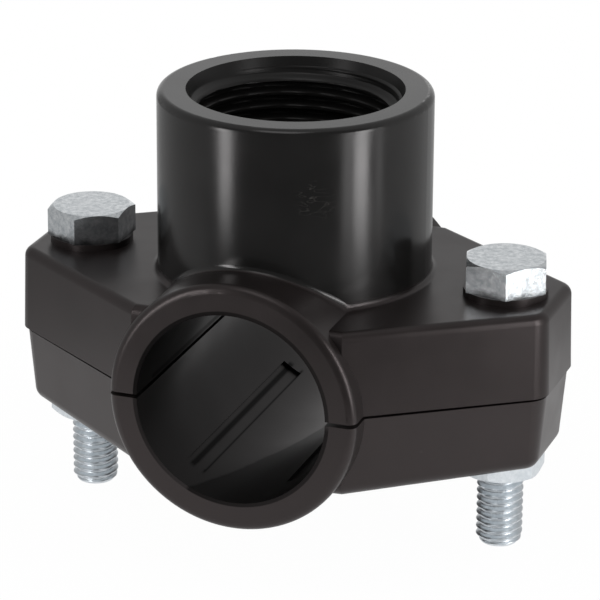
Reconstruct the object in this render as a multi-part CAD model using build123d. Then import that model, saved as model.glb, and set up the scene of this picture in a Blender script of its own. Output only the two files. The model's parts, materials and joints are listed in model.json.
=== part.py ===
"""Tapping saddle for a 25 mm pipe: two moulded halves clamped by two M6 bolts, with a G 3/4 socket on top.

Millimetres, +Z up. The pipe's axis is the Y axis, the socket's axis is the Z axis, and the bolts stand
on the X axis either side of the pipe. The origin is where the pipe's axis and the socket's axis cross.
"""
from build123d import *
import math
import os

os.makedirs("parts", exist_ok=True)

# the pipe and the collar that grips it
PIPE_R = 12.5
COLLAR_WALL = 3.85
COLLAR_R = PIPE_R + COLLAR_WALL
COLLAR_LENGTH = 46.6
COLLAR_EDGE = 1.1            # rounding of the collar's outer rim
PARTING_GAP = 0.5            # between the halves when the bolts are drawn up on a pipe

# the socket for the branch, bored to the major diameter of its G 3/4 thread
SOCKET_R = 17.6
SOCKET_TOP = 35.0
SOCKET_EDGE = 0.9            # rounding of the socket's outer rim
THREAD_MAJOR_R = 13.22
BORE_DEPTH = 15.5            # from the rim down to the shoulder round the tapping hole
MOUTH_R = 13.9
LEAD_IN = 2.0                # height of the cone between the mouth and the bore
TAPPING_R = 7.0              # hole from the socket down to the pipe

# the wings that carry the bolts
BOLT_SPACING = 56.6
BOLT_X = BOLT_SPACING / 2
WING_END_X = 35.75
WING_END_HALF = 6.4          # half the width of the flat end
WING_ROOT_X = 14.0
WING_ROOT_HALF = 21.6        # half the width of the wing where it leaves the collar
WING_CORNER_R = 3.0
UPPER_WING_TOP = 11.2
LOWER_WING_BOTTOM = -10.1    # at the ends, from where the underside slopes down to the collar
LOWER_SLOPE = 2.5            # degrees
UPPER_DRAFT = 1.5            # degrees
LOWER_DRAFT = 5.0
LOWER_INSET = 0.4            # the lower half is this much smaller all round
UPPER_EDGE = 1.2
LOWER_EDGE = 1.8

# the bolts and nuts: M6
BOLT_R = 3.0
BOLT_HOLE_R = 3.3
HEX_FLATS = 10.0
HEAD_HEIGHT = 3.9
BOLT_LENGTH = 35.0
NUT_HEIGHT = 5.2
NUT_BOTTOM = -12.9
THREAD_CLEARANCE = 0.04      # radial, between bolt and nut
POCKET_CLEARANCE = 0.15      # between the nut's flats and its pocket
SEAT_HEIGHT = 0.9            # raised pad under each bolt head
SEAT_R = 5.4
HEAD_TURN = {"left": 30.0, "right": -13.5}
CORNER_CHAMFER = (0.45, 0.8)      # on the hexagon's corners, along the axis and inwards
POINT_CHAMFER = 0.5

# the seal round the tapping hole
SEAL_INNER_R = 8.3
SEAL_OUTER_R = 10.7
SEAL_DEPTH = 1.8

# relief grooves along the lower half's bore
RELIEF_ANGLES = (-122.0, -58.0)
RELIEF_SPAN = 13.0           # degrees
RELIEF_DEPTH = 0.4
RELIEF_LENGTH = 35.0

SIDES = {"left": -1, "right": 1}


def along_pipe(radius, length, middle=0.0):
    """A cylinder on the pipe's axis."""
    return Location((0, middle, 0), (90, 0, 0)) * Cylinder(radius, length)


def upright(radius, bottom, top, x=0.0):
    """A cylinder standing on the XY plane's side at x, from bottom to top."""
    return Location((x, 0, (bottom + top) / 2)) * Cylinder(radius, top - bottom)


def hexagon(flats, turn=0.0):
    """A hexagon by its width across flats, with a corner at the turn angle."""
    return RegularPolygon(flats / 2, 6, major_radius=False, rotation=turn)


def wing_plan(inset):
    """The outline of both wings seen from above: a long hexagon with rounded ends."""
    end_x = WING_END_X - inset
    end_half = WING_END_HALF - inset
    root_half = WING_ROOT_HALF - inset
    corners = [(end_x, -end_half), (end_x, end_half), (WING_ROOT_X, root_half), (-WING_ROOT_X, root_half),
               (-end_x, end_half), (-end_x, -end_half), (-WING_ROOT_X, -root_half), (WING_ROOT_X, -root_half)]
    plan = make_face(Polyline(*corners, close=True))
    tips = plan.vertices().filter_by(lambda v: abs(v.X) > WING_ROOT_X + 1)
    return fillet(tips, WING_CORNER_R)


def wing_block(inset, height, draft, edge, slope=0.0):
    """Both wings as one drafted block from the parting face, its far edges rounded.

    The height is that of the ends. Between them the far face runs out to a ridge over the pipe, by the slope.
    """
    side = 1 if height > 0 else -1
    ridge_height = abs(height) + WING_END_X * math.tan(math.radians(slope))
    plan = Location((0, 0, side * PARTING_GAP / 2)) * wing_plan(inset)
    block = extrude(plan, amount=ridge_height - PARTING_GAP / 2, dir=(0, 0, side), taper=draft)
    far_faces = block.faces().sort_by(Axis.Z)[-1:] if side > 0 else block.faces().sort_by(Axis.Z)[:1]
    if slope:
        size = 4 * WING_END_X
        for end in SIDES.values():
            tilt = Location((end * WING_END_X, 0, height), (0, side * end * slope, 0))
            block -= tilt * Location((0, 0, side * size / 2)) * Box(size, size, size)
        far_faces = block.faces().sort_by(Axis.Z)[-2:] if side > 0 else block.faces().sort_by(Axis.Z)[:2]
    far_edges = far_faces.edges().filter_by(lambda e: abs(e.center().X) > PARTING_GAP or not slope)
    return fillet(far_edges, edge)


def half_space(side):
    """Everything above or below the parting gap."""
    size = 4 * COLLAR_LENGTH
    return Location((0, 0, side * (size + PARTING_GAP) / 2)) * Box(size, size, size)


def collar():
    """The round collar with rounded rims, before it is bored and split."""
    body = along_pipe(COLLAR_R, COLLAR_LENGTH)
    return fillet(body.edges().filter_by(GeomType.CIRCLE), COLLAR_EDGE)


def socket():
    """The outside of the socket, from inside the saddle to its rounded rim."""
    body = upright(SOCKET_R, 0, SOCKET_TOP)
    rim = body.edges().filter_by(GeomType.CIRCLE).sort_by(Axis.Z)[-1]
    return fillet(rim, SOCKET_EDGE)


def seal_zone(inner_r, outer_r):
    """A ring round the tapping hole, cut to the depth of the seal behind the pipe's surface."""
    tube = upright(outer_r, 0, SOCKET_TOP) - upright(inner_r, -1, SOCKET_TOP)
    return tube & along_pipe(PIPE_R + SEAL_DEPTH, COLLAR_LENGTH)


def upper_saddle():
    body = wing_block(0.0, UPPER_WING_TOP, UPPER_DRAFT, UPPER_EDGE)
    body += collar() & half_space(1)
    body += socket() & half_space(1)
    for side in SIDES.values():
        body += upright(SEAT_R, UPPER_WING_TOP - 1, UPPER_WING_TOP + SEAT_HEIGHT, side * BOLT_X)
    body -= along_pipe(PIPE_R, 2 * COLLAR_LENGTH)
    body -= upright(TAPPING_R, 0, SOCKET_TOP)
    body -= upright(THREAD_MAJOR_R, SOCKET_TOP - BORE_DEPTH, SOCKET_TOP)
    body -= Location((0, 0, SOCKET_TOP - LEAD_IN / 2)) * Cone(THREAD_MAJOR_R, MOUTH_R, LEAD_IN)
    body -= seal_zone(SEAL_INNER_R, SEAL_OUTER_R)
    for side in SIDES.values():
        body -= upright(BOLT_HOLE_R, -1, SOCKET_TOP, side * BOLT_X)
    return body


def lower_saddle():
    body = wing_block(LOWER_INSET, LOWER_WING_BOTTOM, LOWER_DRAFT, LOWER_EDGE, LOWER_SLOPE)
    body += collar() & half_space(-1)
    body -= along_pipe(PIPE_R, 2 * COLLAR_LENGTH)
    relief = along_pipe(PIPE_R + RELIEF_DEPTH, RELIEF_LENGTH)
    for angle in RELIEF_ANGLES:
        reach = 2 * COLLAR_R
        spread = reach * math.tan(math.radians(RELIEF_SPAN / 2))
        wedge = make_face(Polyline((0, 0), (reach, -spread), (reach, spread), close=True))
        wedge = extrude(wedge, amount=COLLAR_LENGTH, both=True)
        body -= relief & (Location((0, 0, 0), (90, 0, 0)) * (Location((0, 0, 0), (0, 0, angle)) * wedge))
    for side in SIDES.values():
        body -= upright(BOLT_HOLE_R, 2 * LOWER_WING_BOTTOM, 0, side * BOLT_X)
        pocket = extrude(hexagon(HEX_FLATS + 2 * POCKET_CLEARANCE, 30), amount=NUT_HEIGHT + 1)
        body -= Location((side * BOLT_X, 0, NUT_BOTTOM - 1)) * pocket
    return body


def seal_ring():
    ring = seal_zone(SEAL_INNER_R, SEAL_OUTER_R) - along_pipe(PIPE_R, 2 * COLLAR_LENGTH)
    return ring.solids().sort_by(Axis.Z)[-1]


def hex_bolt(turn):
    """A hexagon bolt standing on the origin under its head, with the shank downwards."""
    head = extrude(hexagon(HEX_FLATS, turn), amount=HEAD_HEIGHT)
    corner_r = HEX_FLATS / math.sqrt(3)
    crown = Location((0, 0, HEAD_HEIGHT / 2)) * Cylinder(corner_r, HEAD_HEIGHT)
    crown = chamfer(crown.edges().sort_by(Axis.Z)[-1], *CORNER_CHAMFER)
    shank = upright(BOLT_R, -BOLT_LENGTH, 0)
    shank = chamfer(shank.edges().sort_by(Axis.Z)[0], POINT_CHAMFER)
    return (head & crown) + shank


def hex_nut():
    """A hexagon nut standing on the origin, chamfered on both faces."""
    corner_r = HEX_FLATS / math.sqrt(3)
    barrel = Location((0, 0, NUT_HEIGHT / 2)) * Cylinder(corner_r, NUT_HEIGHT)
    barrel = chamfer(barrel.edges().filter_by(GeomType.CIRCLE), *CORNER_CHAMFER)
    nut = extrude(hexagon(HEX_FLATS, 30), amount=NUT_HEIGHT) & barrel
    return nut - upright(BOLT_R + THREAD_CLEARANCE, -1, NUT_HEIGHT + 1)


parts = {"upper_saddle": upper_saddle(), "lower_saddle": lower_saddle(), "seal_ring": seal_ring()}
for name, side in SIDES.items():
    x = side * BOLT_X
    parts[name + "_bolt"] = Location((x, 0, UPPER_WING_TOP + SEAT_HEIGHT)) * hex_bolt(HEAD_TURN[name])
    parts[name + "_nut"] = Location((x, 0, NUT_BOTTOM)) * hex_nut()

for name, shape in parts.items():
    export_step(shape, "parts/" + name + ".step")
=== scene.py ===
"""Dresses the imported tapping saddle: moulded black plastic, rubber, and zinc plated M6 bolts and nuts with
rolled threads, the socket's G 3/4 thread and the fillet at its foot, on a pale floor under studio light."""
import json
import math

import bmesh
import bpy
from mathutils import Matrix, Vector

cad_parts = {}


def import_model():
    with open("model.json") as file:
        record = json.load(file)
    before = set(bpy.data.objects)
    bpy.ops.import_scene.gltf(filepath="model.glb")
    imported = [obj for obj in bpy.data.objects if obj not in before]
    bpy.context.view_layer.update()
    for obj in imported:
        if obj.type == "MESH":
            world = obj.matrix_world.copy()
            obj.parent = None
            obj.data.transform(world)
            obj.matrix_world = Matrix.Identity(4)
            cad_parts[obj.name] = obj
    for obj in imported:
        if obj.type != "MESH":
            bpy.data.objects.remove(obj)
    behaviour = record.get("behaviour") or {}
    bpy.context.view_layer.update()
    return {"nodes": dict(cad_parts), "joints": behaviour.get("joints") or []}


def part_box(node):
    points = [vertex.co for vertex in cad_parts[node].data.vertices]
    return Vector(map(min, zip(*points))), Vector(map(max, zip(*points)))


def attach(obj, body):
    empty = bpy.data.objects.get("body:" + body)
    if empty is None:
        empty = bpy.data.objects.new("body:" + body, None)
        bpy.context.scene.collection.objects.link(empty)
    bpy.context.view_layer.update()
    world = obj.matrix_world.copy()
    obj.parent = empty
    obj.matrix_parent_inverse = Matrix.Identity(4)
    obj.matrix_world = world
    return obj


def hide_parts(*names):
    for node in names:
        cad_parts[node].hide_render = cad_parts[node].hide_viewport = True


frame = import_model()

MM = 0.001
nodes = frame["nodes"]

# the bolts, as M6 is standardised; the flats at crest and root are shares of the pitch
BOLT_R = 3.0 * MM
HEAD_HEIGHT = 3.9 * MM
HEAD_FOOT = 12.1 * MM             # the top of the seats that the heads stand on
M6_PITCH = 1.0 * MM
M6_DEPTH = 0.6134 * M6_PITCH
M6_CREST, M6_ROOT = 0.125, 0.25

# the moulding
PIPE_R = 12.5 * MM
RELIEF_DEPTH = 0.4 * MM           # of the grooves along the pipe's bore
COLLAR_R = 16.35 * MM
WING_TOP = 11.2 * MM
SOCKET_R = 17.6 * MM
SOCKET_TOP = 35.0 * MM
SOCKET_BORE_R = 13.22 * MM
MOUTH_R = 13.9 * MM
LEAD_IN = 2.0 * MM                # height of the cone between the mouth and the bore
LEAD_SLOPE = (MOUTH_R - SOCKET_BORE_R) / LEAD_IN
FOOT_FILLET = 0.7 * MM

# the socket's G 3/4 thread, from inside the lead-in cone to the bottom of the bore
G34_PITCH = 1.814 * MM
G34_DEPTH = 0.6403 * G34_PITCH
G34_CREST, G34_ROOT = 0.16, 0.2
G34_ROOT_R = SOCKET_BORE_R - 0.04 * MM    # just clear of the bore's wall
THREAD_START = 1.2 * MM           # below the rim
THREAD_END = 15.4 * MM
FADE_IN, FADE_OUT = 0.9 * G34_PITCH, 0.8 * G34_PITCH

# the camera, as the photograph was taken; angles in degrees
VIEW_AZIMUTH = 19.85
VIEW_ELEVATION = 20.84
VIEW_ROLL = -0.35
VIEW_DISTANCE = 454.5 * MM
VIEW_AIM = (0.71 * MM, 5.93 * MM)   # right of and above the point where the axes cross
LENS_MM = 210.1
SENSOR_MM = 36.0

# colours; a pair is the dark and the light end of a cloudy surface
MATT_BLACK = ((0.0095, 0.0078, 0.0076), (0.0125, 0.0100, 0.0098))
POLISHED_BLACK = ((0.0055, 0.0054, 0.0052), (0.0075, 0.0072, 0.0070))
MATT_SHEEN, POLISHED_SHEEN = (1.0, 0.88, 0.88), (1.0, 0.98, 0.98)
# painted shade: the pipe's bore is darker than the outside
BORE_SHADE_BLACK = (0.004, 0.0036, 0.0035)
# the dark joint of the halves, and painted shade in the relief groove and at the near end of the bore
SEAM_AND_SHADE_BLACK = (0.0015, 0.0014, 0.0013)
MARK_GREY = (0.05, 0.047, 0.044)
HEAD_ZINC = ((0.54, 0.58, 0.61), (0.92, 0.95, 0.97))
SHANK_ZINC = ((0.62, 0.665, 0.70), (0.77, 0.805, 0.835))
# painted shade at the foot of the heads
FOOT_SHADE_BLACK = (0.02, 0.02, 0.019)
SEAL_BLACK = ((0.012, 0.012, 0.012), (0.02, 0.02, 0.02))

# how strongly and how sharply the surfaces reflect; a pair of roughnesses goes with the cloudiness
MATT_SPECULAR, POLISHED_SPECULAR = 0.42, 0.5
BORE_SHADE_AND_SHEEN = (0.16, 0.55)      # at the left and at the right: painted shade at the left, painted sheen at the right
SEAM_AND_SHADE_SPECULAR = 0.15            # as a share of what the surface has off the dark lines and the painted shadow
MATT_ROUGHNESS = (0.29, 0.37)
POLISHED_ROUGHNESS = (0.18, 0.23)
THREAD_HAZE = 0.14                # in the socket's thread: taken off the specular, added to the roughness
SHANK_ROUGHNESS, HEAD_ROUGHNESS = 0.36, 0.24
SEAL_ROUGHNESS = (0.6, 0.75)

# noise scales, in features per metre
GRAIN = 2600
SEAL_GRAIN = 1800
BLOOM = 1300
FOOT_SHADE_NOISE = 700
SCRATCH_NOISE = 420
SHADOW_NOISE = 300
CLOUDS = 130

# marks on the moulding and the heads
BORE_LINES = (                    # dark lines along the bore, in degrees: where, half width, faded out at; the first two are painted shade on the relief groove's walls, the last the dark joint of the halves
    (-124.0, 1.0, 2.4),
    (-116.0, 0.3, 1.3),
    (176.5, 1.0, 3.6),
)
BORE_LINE_HALF = 18.0 * MM
SHADOW_ANGLE = -100.0              # a painted shadow at the near end of the bore: at this angle, in degrees,
SHADOW_EDGE = -12.5 * MM           # its edge is this far along the pipe,
SHADOW_SLOPE = 0.64 * MM           # and this much further with each degree
SCUFF = (8.3 * MM, -15.5 * MM, 26.0 * MM)
SCUFF_R = 3.6 * MM
NICK = (22.5 * MM, -15.1 * MM, -5.7 * MM)
NICK_R = 0.5 * MM
FOOT_SHADE_HEIGHT = 0.8 * MM           # painted shade at the foot of the heads, where their lower faces reflect the black wing

# the studio
FLOOR_R = 100 * MM
FLOOR_SEEN = 0.6                  # how bright reflections find the floor
FRONT = 0.14                      # and the world, in front of the object, behind it and at its sides
BEHIND = 0.85
SIDE_LEFT = 0.40
SIDE_RIGHT = 0.48
SKY_LIGHT = 0.6                   # the world's light on matt surfaces
STRIP_DISTANCE = 110 * MM
STRIP_HEIGHT = 80 * MM

# input and output numbers of the Mix node, by its kind: A, B, result
MIX_SOCKETS = {"FLOAT": (2, 3, 0), "RGBA": (6, 7, 2)}


# ---------------------------------------------------------------- node helpers

def add(tree, kind, **values):
    """A node of that kind with its inputs or settings set by name."""
    node = tree.nodes.new(kind)
    for key, value in values.items():
        if key in node.inputs:
            node.inputs[key].default_value = value
        else:
            setattr(node, key, value)
    return node


def new_material(name):
    """A material with nodes, its tree, its Principled shader, and a socket with the place on the object."""
    material = bpy.data.materials.new(name)
    material.use_nodes = True
    tree = material.node_tree
    place = add(tree, "ShaderNodeTexCoord").outputs["Object"]
    return material, tree, tree.nodes["Principled BSDF"], place


def feed(tree, slot, value):
    """Gives an input a socket to read, or a number or a colour to keep."""
    if isinstance(value, bpy.types.NodeSocket):
        tree.links.new(value, slot)
    else:
        slot.default_value = (*value, 1) if slot.type == "RGBA" else value


def components(tree, vector):
    """The X, Y and Z of a vector socket."""
    node = add(tree, "ShaderNodeSeparateXYZ")
    tree.links.new(vector, node.inputs[0])
    return node.outputs[0], node.outputs[1], node.outputs[2]


def noise(tree, coordinates, scale, detail=3.0, roughness=0.5):
    """A noise texture's factor, its scale given in features per metre."""
    node = add(tree, "ShaderNodeTexNoise", Scale=scale, Detail=detail, Roughness=roughness)
    tree.links.new(coordinates, node.inputs["Vector"])
    return node.outputs["Fac"]


def remap(tree, value, low, high, to_low, to_high):
    """value from low..high to to_low..to_high, held at the ends."""
    node = add(tree, "ShaderNodeMapRange", clamp=True)
    for key, number in (("From Min", low), ("From Max", high), ("To Min", to_low), ("To Max", to_high)):
        node.inputs[key].default_value = number
    tree.links.new(value, node.inputs["Value"])
    return node.outputs["Result"]


def stretched(tree, factor, to_low, to_high, spread=0.2):
    """A noise's middle values, that far either side of a half, stretched from to_low to to_high."""
    return remap(tree, factor, 0.5 - spread, 0.5 + spread, to_low, to_high)


def math_node(tree, operation, a, b=None):
    """One step of arithmetic on sockets or numbers."""
    node = add(tree, "ShaderNodeMath", operation=operation)
    feed(tree, node.inputs[0], a)
    if b is not None:
        feed(tree, node.inputs[1], b)
    return node.outputs[0]


def mix(tree, factor, a, b, kind="RGBA"):
    """Between a and b by a factor socket: a and b are sockets or colours, or numbers if the kind is FLOAT."""
    first, second, result = MIX_SOCKETS[kind]
    node = add(tree, "ShaderNodeMix", data_type=kind)
    tree.links.new(factor, node.inputs[0])
    feed(tree, node.inputs[first], a)
    feed(tree, node.inputs[second], b)
    return node.outputs[result]


def along(tree, vector, direction):
    """How far a vector socket reaches along a direction."""
    node = add(tree, "ShaderNodeVectorMath", operation="DOT_PRODUCT")
    tree.links.new(vector, node.inputs[0])
    node.inputs[1].default_value = direction
    return node.outputs["Value"]


def reach_from(tree, place, centre):
    """The distance from a point."""
    node = add(tree, "ShaderNodeVectorMath", operation="DISTANCE")
    tree.links.new(place, node.inputs[0])
    node.inputs[1].default_value = centre
    return node.outputs["Value"]


def length_of(tree, **parts):
    """The length of the vector made of the named components."""
    flat = add(tree, "ShaderNodeCombineXYZ")
    for axis, value in parts.items():
        tree.links.new(value, flat.inputs[axis])
    return reach_from(tree, flat.outputs[0], (0, 0, 0))


def bump(tree, height, strength, distance):
    """A normal for a fine relief, from a height socket."""
    node = add(tree, "ShaderNodeBump", Strength=strength, Distance=distance)
    tree.links.new(height, node.inputs["Height"])
    return node.outputs["Normal"]


# ---------------------------------------------------------------- materials

def bore_seam_and_shade(tree, place):
    """1 on the dark lines along the pipe's bore, painted shade in the relief groove and the dark joint of the
    halves, and less on the painted shadow at its near end and on the upper half.
    """
    x, y, z = components(tree, place)
    around_pipe = math_node(tree, "ARCTAN2", z, x)
    lines = None
    for angle, full, faded in BORE_LINES:
        off = math_node(tree, "ABSOLUTE", math_node(tree, "SUBTRACT", around_pipe, math.radians(angle)))
        line = remap(tree, off, math.radians(full), math.radians(faded), 1, 0)
        lines = line if lines is None else math_node(tree, "MAXIMUM", lines, line)
    ends = remap(tree, math_node(tree, "ABSOLUTE", y), BORE_LINE_HALF, BORE_LINE_HALF + 1 * MM, 1, 0)
    lines = math_node(tree, "MULTIPLY", lines, ends)

    # a painted shadow across the near end of the bore's lower half; the upper half is darkened as well
    turned = math_node(tree, "SUBTRACT", around_pipe, math.radians(SHADOW_ANGLE))
    slope_per_radian = SHADOW_SLOPE * 180 / math.pi
    edge = math_node(tree, "ADD", math_node(tree, "MULTIPLY", turned, slope_per_radian), SHADOW_EDGE)
    wander = stretched(tree, noise(tree, place, SHADOW_NOISE), -0.5 * MM, 0.5 * MM)
    inside = math_node(tree, "ADD", math_node(tree, "SUBTRACT", edge, y), wander)
    painted_shadow = remap(tree, inside, -0.3 * MM, 0.9 * MM, 0, 0.8)
    below = remap(tree, z, -1 * MM, 0, 1, 0)
    above = remap(tree, z, 0, 0.3 * MM, 0, 0.7)
    painted_shadow = math_node(tree, "MAXIMUM", math_node(tree, "MULTIPLY", painted_shadow, below), above)
    return math_node(tree, "MAXIMUM", lines, painted_shadow)


def pale_marks(tree, place):
    """1 on the nick, and about half on the fine curling scratches of the scuffed patch."""
    slanted = add(tree, "ShaderNodeMapping", Rotation=(0.9, 0.0, 0.4), Scale=(1.0, 1.0, 4.0))
    tree.links.new(place, slanted.inputs["Vector"])
    level = noise(tree, slanted.outputs["Vector"], SCRATCH_NOISE, 2, 0.4)
    from_level = math_node(tree, "SUBTRACT", level, 0.5)
    scratch = remap(tree, math_node(tree, "ABSOLUTE", from_level), 0.004, 0.018, 1, 0)
    near = remap(tree, reach_from(tree, place, SCUFF), 1.0 * MM, SCUFF_R, 0.5, 0)
    nick = remap(tree, reach_from(tree, place, NICK), NICK_R / 2, NICK_R, 1, 0)
    return math_node(tree, "MAXIMUM", math_node(tree, "MULTIPLY", scratch, near), nick)


def black_plastic():
    """Injection moulded polypropylene: polished on the socket, duller and warmer on the collar and wings."""
    material, tree, shader, place = new_material("black_plastic")
    x, y, z = components(tree, place)
    grain = noise(tree, place, GRAIN, 4)
    cloud = stretched(tree, noise(tree, place, CLOUDS), 0, 1)

    # masks of the regions
    from_socket = length_of(tree, X=x, Y=y)
    from_pipe = length_of(tree, X=x, Z=z)
    within = remap(tree, from_socket, SOCKET_R + 0.1 * MM, SOCKET_R + 0.4 * MM, 1, 0)
    raised = remap(tree, z, WING_TOP + 0.2 * MM, WING_TOP + 1.2 * MM, 0, 1)
    on_socket = math_node(tree, "MULTIPLY", within, raised)
    inner = remap(tree, from_socket, MOUTH_R, MOUTH_R + 0.1 * MM, 1, 0)
    in_thread = math_node(tree, "MULTIPLY", on_socket, inner)
    groove_floor = PIPE_R + RELIEF_DEPTH
    in_bore = remap(tree, from_pipe, groove_floor + 0.05 * MM, groove_floor + 0.15 * MM, 1, 0)
    seam_and_shade = math_node(tree, "MULTIPLY", bore_seam_and_shade(tree, place), in_bore)

    colour = mix(tree, on_socket, mix(tree, cloud, *MATT_BLACK), mix(tree, cloud, *POLISHED_BLACK))
    # painted shade over the whole bore, more on its dark lines and painted shadow; the pale marks are real
    # wear
    for mask, tone in ((in_bore, BORE_SHADE_BLACK), (seam_and_shade, SEAM_AND_SHADE_BLACK), (pale_marks(tree, place), MARK_GREY)):
        colour = mix(tree, mask, colour, tone)
    tree.links.new(colour, shader.inputs["Base Color"])
    tree.links.new(mix(tree, on_socket, MATT_SHEEN, POLISHED_SHEEN), shader.inputs["Specular Tint"])

    # how strongly it reflects: less in the thread, on the dark lines and on the painted shadow; in the bore,
    # painted shade at the left and painted sheen towards the right side
    haze = remap(tree, in_thread, 0, 1, 0, THREAD_HAZE)
    shine = remap(tree, on_socket, 0, 1, MATT_SPECULAR, POLISHED_SPECULAR)
    shine = math_node(tree, "SUBTRACT", shine, haze)
    # painted shade at the bore's left, painted sheen towards its right
    bore_shade_and_sheen = remap(tree, x, -12 * MM, 5 * MM, *BORE_SHADE_AND_SHEEN)
    shine = mix(tree, in_bore, shine, bore_shade_and_sheen, "FLOAT")
    shine = math_node(tree, "MULTIPLY", shine, remap(tree, seam_and_shade, 0, 1, 1, SEAM_AND_SHADE_SPECULAR))
    tree.links.new(shine, shader.inputs["Specular IOR Level"])

    dull = remap(tree, cloud, 0, 1, *MATT_ROUGHNESS)
    gloss = math_node(tree, "ADD", remap(tree, cloud, 0, 1, *POLISHED_ROUGHNESS), haze)
    tree.links.new(mix(tree, on_socket, dull, gloss, "FLOAT"), shader.inputs["Roughness"])
    tree.links.new(bump(tree, grain, 0.10, 0.03 * MM), shader.inputs["Normal"])
    return material


def zinc_plate():
    """Bright zinc plating: pale blue-white metal with a faint bloom, and painted shade at the foot of the
    heads, where their lower faces reflect the black wing.
    """
    material, tree, shader, place = new_material("zinc_plate")
    z = components(tree, place)[2]
    on_head = remap(tree, z, HEAD_FOOT - 1.1 * MM, HEAD_FOOT - 0.1 * MM, 0, 1)
    cloud = stretched(tree, noise(tree, place, BLOOM, 6, 0.75), 0, 1, spread=0.14)
    grain = noise(tree, place, GRAIN, 4, 0.65)
    ragged = stretched(tree, noise(tree, place, FOOT_SHADE_NOISE, 4), -0.35 * MM, 0.35 * MM)
    height = math_node(tree, "ADD", z, ragged)
    # painted shade: a ragged dark band at the foot of each head
    foot = remap(tree, height, HEAD_FOOT, HEAD_FOOT + FOOT_SHADE_HEIGHT, 0.8, 0)
    foot_shade = math_node(tree, "MULTIPLY", on_head, foot)
    bare_zinc = mix(tree, on_head, mix(tree, cloud, *SHANK_ZINC), mix(tree, cloud, *HEAD_ZINC))
    tree.links.new(mix(tree, foot_shade, bare_zinc, FOOT_SHADE_BLACK), shader.inputs["Base Color"])
    shader.inputs["Metallic"].default_value = 1.0
    roughness = remap(tree, on_head, 0, 1, SHANK_ROUGHNESS, HEAD_ROUGHNESS)
    tree.links.new(roughness, shader.inputs["Roughness"])
    tree.links.new(bump(tree, grain, 0.3, 0.04 * MM), shader.inputs["Normal"])
    return material


def seal_rubber():
    """Matt black rubber."""
    material, tree, shader, place = new_material("seal_rubber")
    grain = noise(tree, place, SEAL_GRAIN)
    tree.links.new(mix(tree, grain, *SEAL_BLACK), shader.inputs["Base Color"])
    tree.links.new(stretched(tree, grain, *SEAL_ROUGHNESS), shader.inputs["Roughness"])
    tree.links.new(bump(tree, grain, 0.1, 0.05 * MM), shader.inputs["Normal"])
    return material


PLASTIC = black_plastic()
ZINC = zinc_plate()
RUBBER = seal_rubber()


# ---------------------------------------------------------------- mesh helpers

CAD_CREASE = 30.0                 # degrees: edges sharper than this stay sharp
THREAD_CREASE = 40.0


def dress(obj, material, crease=CAD_CREASE):
    """Gives an object its material, and smooth shading between its sharp edges."""
    obj.data.materials.clear()
    obj.data.materials.append(material)
    obj.data.shade_smooth()
    obj.data.set_sharp_from_angle(angle=math.radians(crease))


def piece(name, bm, material, body):
    """A new piece of the scene, from a finished bmesh, that rides on a body."""
    mesh = bpy.data.meshes.new(name)
    bm.to_mesh(mesh)
    bm.free()
    obj = bpy.data.objects.new(name, mesh)
    bpy.context.scene.collection.objects.link(obj)
    dress(obj, material, THREAD_CREASE)
    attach(obj, body)
    return obj


def skin(bm, rings, looped=False):
    """Faces from each closed ring of points to the next, and from the last to the first if looped."""
    following = rings[1:] + rings[:1] if looped else rings[1:]
    for ring, other in zip(rings, following):
        for i in range(len(ring)):
            k = (i + 1) % len(ring)
            bm.faces.new((ring[i], ring[k], other[k], other[i]))


def thread_rings(bm, centre, radius_at, z_low, z_high, pitch, around, per_turn):
    """Skins a helical thread and returns its rings of points, from the bottom up.

    radius_at(phase, z) gives the radius, where phase runs from 0 to 1 in each pitch.
    """
    steps = max(2, round((z_high - z_low) / pitch * per_turn))
    rings = []
    for i in range(steps + 1):
        z = z_low + (z_high - z_low) * i / steps
        ring = []
        for j in range(around):
            angle = 2 * math.pi * j / around
            phase = (z / pitch - j / around) % 1.0
            r = radius_at(phase, z)
            ring.append(bm.verts.new((centre.x + r * math.cos(angle), centre.y + r * math.sin(angle), z)))
        rings.append(ring)
    skin(bm, rings)
    return rings


def ridge(phase, crest, root):
    """1 on a thread's crest, 0 at its root, straight flanks between; the crest is at phase 0.5."""
    away = abs(phase - 0.5) * 2
    return min(1.0, max(0.0, (1 - root - away) / (1 - root - crest)))


# ---------------------------------------------------------------- pieces

def threaded_bolt(node, body):
    """The CAD bolt's head on a shank with a real thread, chamfered at its point."""
    low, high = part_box(node)
    under_head = high.z - HEAD_HEIGHT
    bm = bmesh.new()
    bm.from_mesh(nodes[node].data)
    tip = [v.co for v in bm.verts if abs(v.co.z - low.z) < 0.1 * MM]
    axis = sum(tip, Vector()) / len(tip)
    shank = [f for f in bm.faces if f.calc_center_median().z < under_head - 0.01 * MM]
    bmesh.ops.delete(bm, geom=shank, context="FACES")

    def radius_at(phase, z):
        chamfered = BOLT_R - M6_DEPTH + max(0.0, z - low.z - 0.05 * MM)
        return min(chamfered, BOLT_R - M6_DEPTH * (1 - ridge(phase, M6_CREST, M6_ROOT)))

    into_head = under_head + 0.2 * MM
    rings = thread_rings(bm, axis, radius_at, low.z, into_head, M6_PITCH, around=40, per_turn=10)
    bm.faces.new(list(reversed(rings[0])))
    bmesh.ops.recalc_face_normals(bm, faces=bm.faces)
    obj = piece(node + "_threaded", bm, ZINC, body)
    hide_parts(node)


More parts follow.
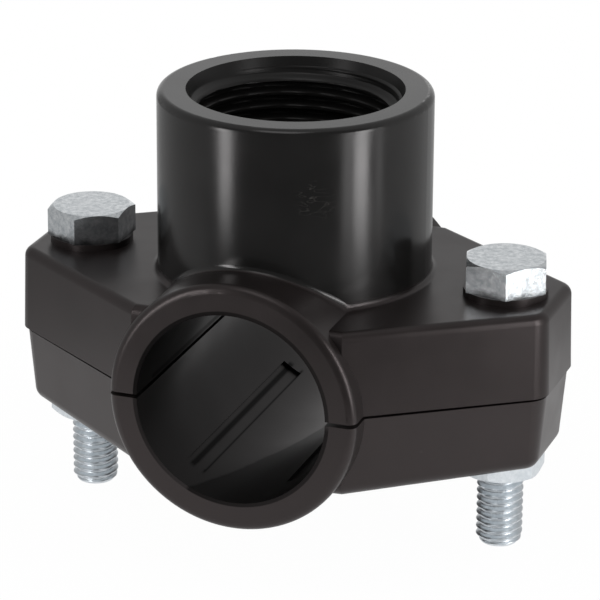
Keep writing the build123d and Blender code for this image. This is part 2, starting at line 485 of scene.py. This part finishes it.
def socket_thread():
    """The ridges of the socket's female thread, fading in on the lead-in cone and out at the bottom."""
    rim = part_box("upper_saddle")[1].z
    top, bottom = rim - THREAD_START, rim - THREAD_END

    def radius_at(phase, z):
        fade = max(0.0, min(1.0, (top - z) / FADE_IN, (z - bottom) / FADE_OUT))
        flank = ridge(phase, G34_CREST, G34_ROOT)
        rounded = flank * flank * (3 - 2 * flank)
        root = G34_ROOT_R + LEAD_SLOPE * max(0.0, z - (rim - LEAD_IN))
        return root - G34_DEPTH * rounded * fade

    bm = bmesh.new()
    thread_rings(bm, Vector((0, 0, 0)), radius_at, bottom, top, G34_PITCH, around=120, per_turn=16)
    for face in bm.faces:
        face.normal_flip()
    piece("socket_thread", bm, PLASTIC, "upper_half")


def foot_fillet(around=240, arc_steps=8):
    """The small hollow fillet where the socket meets the tops of the wings and the back of the collar."""
    wing_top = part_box("upper_saddle")[1].z - SOCKET_TOP + WING_TOP
    bury = 0.05 * MM
    arc = [math.radians(90 * i / arc_steps) for i in range(arc_steps + 1)]
    profile = [(FOOT_FILLET * (1 - math.cos(a)), FOOT_FILLET * (1 - math.sin(a))) for a in arc]
    profile += [(FOOT_FILLET, -bury), (-bury, -bury), (-bury, FOOT_FILLET)]

    def ground(x):
        """The height of what the socket stands on, the collar's round back or the wings."""
        return max(wing_top, math.sqrt(max(0.0, COLLAR_R ** 2 - x ** 2)))

    bm = bmesh.new()
    rings = []
    for j in range(around):
        angle = 2 * math.pi * j / around
        ring = []
        for out, rise in profile:
            x, y = (SOCKET_R + out) * math.cos(angle), (SOCKET_R + out) * math.sin(angle)
            ring.append(bm.verts.new((x, y, ground(x) + rise)))
        rings.append(ring)
    skin(bm, rings, looped=True)
    bmesh.ops.recalc_face_normals(bm, faces=bm.faces)
    piece("foot_fillet", bm, PLASTIC, "upper_half")


for name in ("upper_saddle", "lower_saddle"):
    dress(nodes[name], PLASTIC)
dress(nodes["seal_ring"], RUBBER)
for name in ("left_nut", "right_nut"):
    dress(nodes[name], ZINC)
threaded_bolt("left_bolt", "bolt_left")
threaded_bolt("right_bolt", "bolt_right")
socket_thread()
foot_fillet()


# ---------------------------------------------------------------- studio

def floor():
    """A round pale floor, low enough for the lower half to drop to the end of its travel.

    To the camera it is nearly all glow, so that it meets the white world without an edge.
    """
    drop = next(j["range_m"][1] for j in frame["joints"] if j["name"] == "lower_half_drop")
    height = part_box("lower_saddle")[0].z - drop - 1 * MM
    bpy.ops.mesh.primitive_circle_add(vertices=96, radius=FLOOR_R, fill_type="NGON", location=(0, 0, height))
    disc = bpy.context.object
    disc.name = "floor"
    material, tree, shader, place = new_material("floor_paper")
    shader.inputs["Base Color"].default_value = (0.9, 0.9, 0.9, 1)
    shader.inputs["Roughness"].default_value = 0.8
    shader.inputs["Specular IOR Level"].default_value = 0.1
    glow = add(tree, "ShaderNodeEmission", Strength=1.0)
    share = remap(tree, reach_from(tree, place, (0, 0, 0)), 0.5 * FLOOR_R, 0.98 * FLOOR_R, 0.98, 1.0)
    paths = add(tree, "ShaderNodeLightPath")
    reflected = math_node(tree, "MULTIPLY", paths.outputs["Is Glossy Ray"], FLOOR_SEEN)
    seen = math_node(tree, "MAXIMUM", paths.outputs["Is Camera Ray"], reflected)
    blend = add(tree, "ShaderNodeMixShader")
    tree.links.new(math_node(tree, "MULTIPLY", seen, share), blend.inputs[0])
    tree.links.new(shader.outputs[0], blend.inputs[1])
    tree.links.new(glow.outputs[0], blend.inputs[2])
    tree.links.new(blend.outputs[0], tree.nodes["Material Output"].inputs["Surface"])
    disc.data.materials.append(material)


def world():
    """White to the camera. To reflections, bright behind the object, grey at its sides and dim in front."""
    studio = bpy.data.worlds.new("studio")
    bpy.context.scene.world = studio
    studio.use_nodes = True
    tree = studio.node_tree
    sky = tree.nodes["Background"]
    sky.inputs["Color"].default_value = (1, 1, 1, 1)
    toward = add(tree, "ShaderNodeTexCoord").outputs["Generated"]
    turn = math.radians(VIEW_AZIMUTH)
    backward = along(tree, toward, (-math.sin(turn), math.cos(turn), 0))
    rightward = along(tree, toward, (math.cos(turn), math.sin(turn), 0))
    side = remap(tree, rightward, -0.5, 0.5, SIDE_LEFT, SIDE_RIGHT)
    flank = math_node(tree, "MULTIPLY", remap(tree, backward, -0.6, -0.1, 0, 1), side)
    reflected = math_node(tree, "MAXIMUM", flank, remap(tree, backward, 0.84, 0.96, FRONT, BEHIND))
    paths = add(tree, "ShaderNodeLightPath")
    lit = mix(tree, paths.outputs["Is Glossy Ray"], SKY_LIGHT, reflected, "FLOAT")
    seen = mix(tree, paths.outputs["Is Camera Ray"], lit, 1.0, "FLOAT")
    tree.links.new(seen, sky.inputs["Strength"])


def softbox(name, turned, distance, width, height, raised, radiance):
    """An area lamp that faces the object, turned by degrees in plan from the side the camera is on."""
    lamp = bpy.data.lights.new(name, "AREA")
    lamp.shape = "RECTANGLE"
    lamp.size = width
    lamp.size_y = height
    lamp.energy = radiance * math.pi * width * height
    obj = bpy.data.objects.new(name, lamp)
    bpy.context.scene.collection.objects.link(obj)
    angle = math.radians(VIEW_AZIMUTH - 90 + turned)
    spot = Vector((distance * math.cos(angle), distance * math.sin(angle), raised))
    obj.location = spot
    obj.rotation_euler = (-spot).to_track_quat("-Z", "Y").to_euler()
    obj.visible_camera = False


def strip(name, turned, width, raised, radiance):
    """A narrow lamp close to the object, which draws an upright highlight on the socket."""
    softbox(name, turned, STRIP_DISTANCE, width, STRIP_HEIGHT, raised, radiance)


def camera():
    """The photograph's camera."""
    data = bpy.data.cameras.new("photo_camera")
    data.sensor_width = SENSOR_MM
    data.lens = LENS_MM
    data.clip_start = 10 * MM
    obj = bpy.data.objects.new("photo_camera", data)
    bpy.context.scene.collection.objects.link(obj)
    azimuth, elevation, roll = (math.radians(v) for v in (VIEW_AZIMUTH, VIEW_ELEVATION, VIEW_ROLL))
    right = Vector((math.cos(azimuth), math.sin(azimuth), 0))
    forward = Vector((-math.sin(azimuth) * math.cos(elevation), math.cos(azimuth) * math.cos(elevation),
                      -math.sin(elevation)))
    up = right.cross(forward)
    spot = VIEW_AIM[0] * right + VIEW_AIM[1] * up - VIEW_DISTANCE * forward
    level = Matrix((right, up, -forward)).transposed()
    obj.matrix_world = Matrix.Translation(spot) @ (level @ Matrix.Rotation(-roll, 3, "Z")).to_4x4()
    bpy.context.scene.camera = obj


floor()
world()
camera()
strip("left_strip", turned=-55, width=0.021, raised=0.027, radiance=7.2)
strip("right_strip", turned=52, width=0.023, raised=0.023, radiance=7.4)
strip("right_side", turned=68, width=0.012, raised=0.023, radiance=1.3)
strip("right_glow", turned=40, width=0.012, raised=0.022, radiance=2.2)
softbox("top_softbox", turned=-20, distance=0.25, width=0.3, height=0.3, raised=0.6, radiance=1.5)

bpy.context.scene.view_settings.view_transform = "Standard"
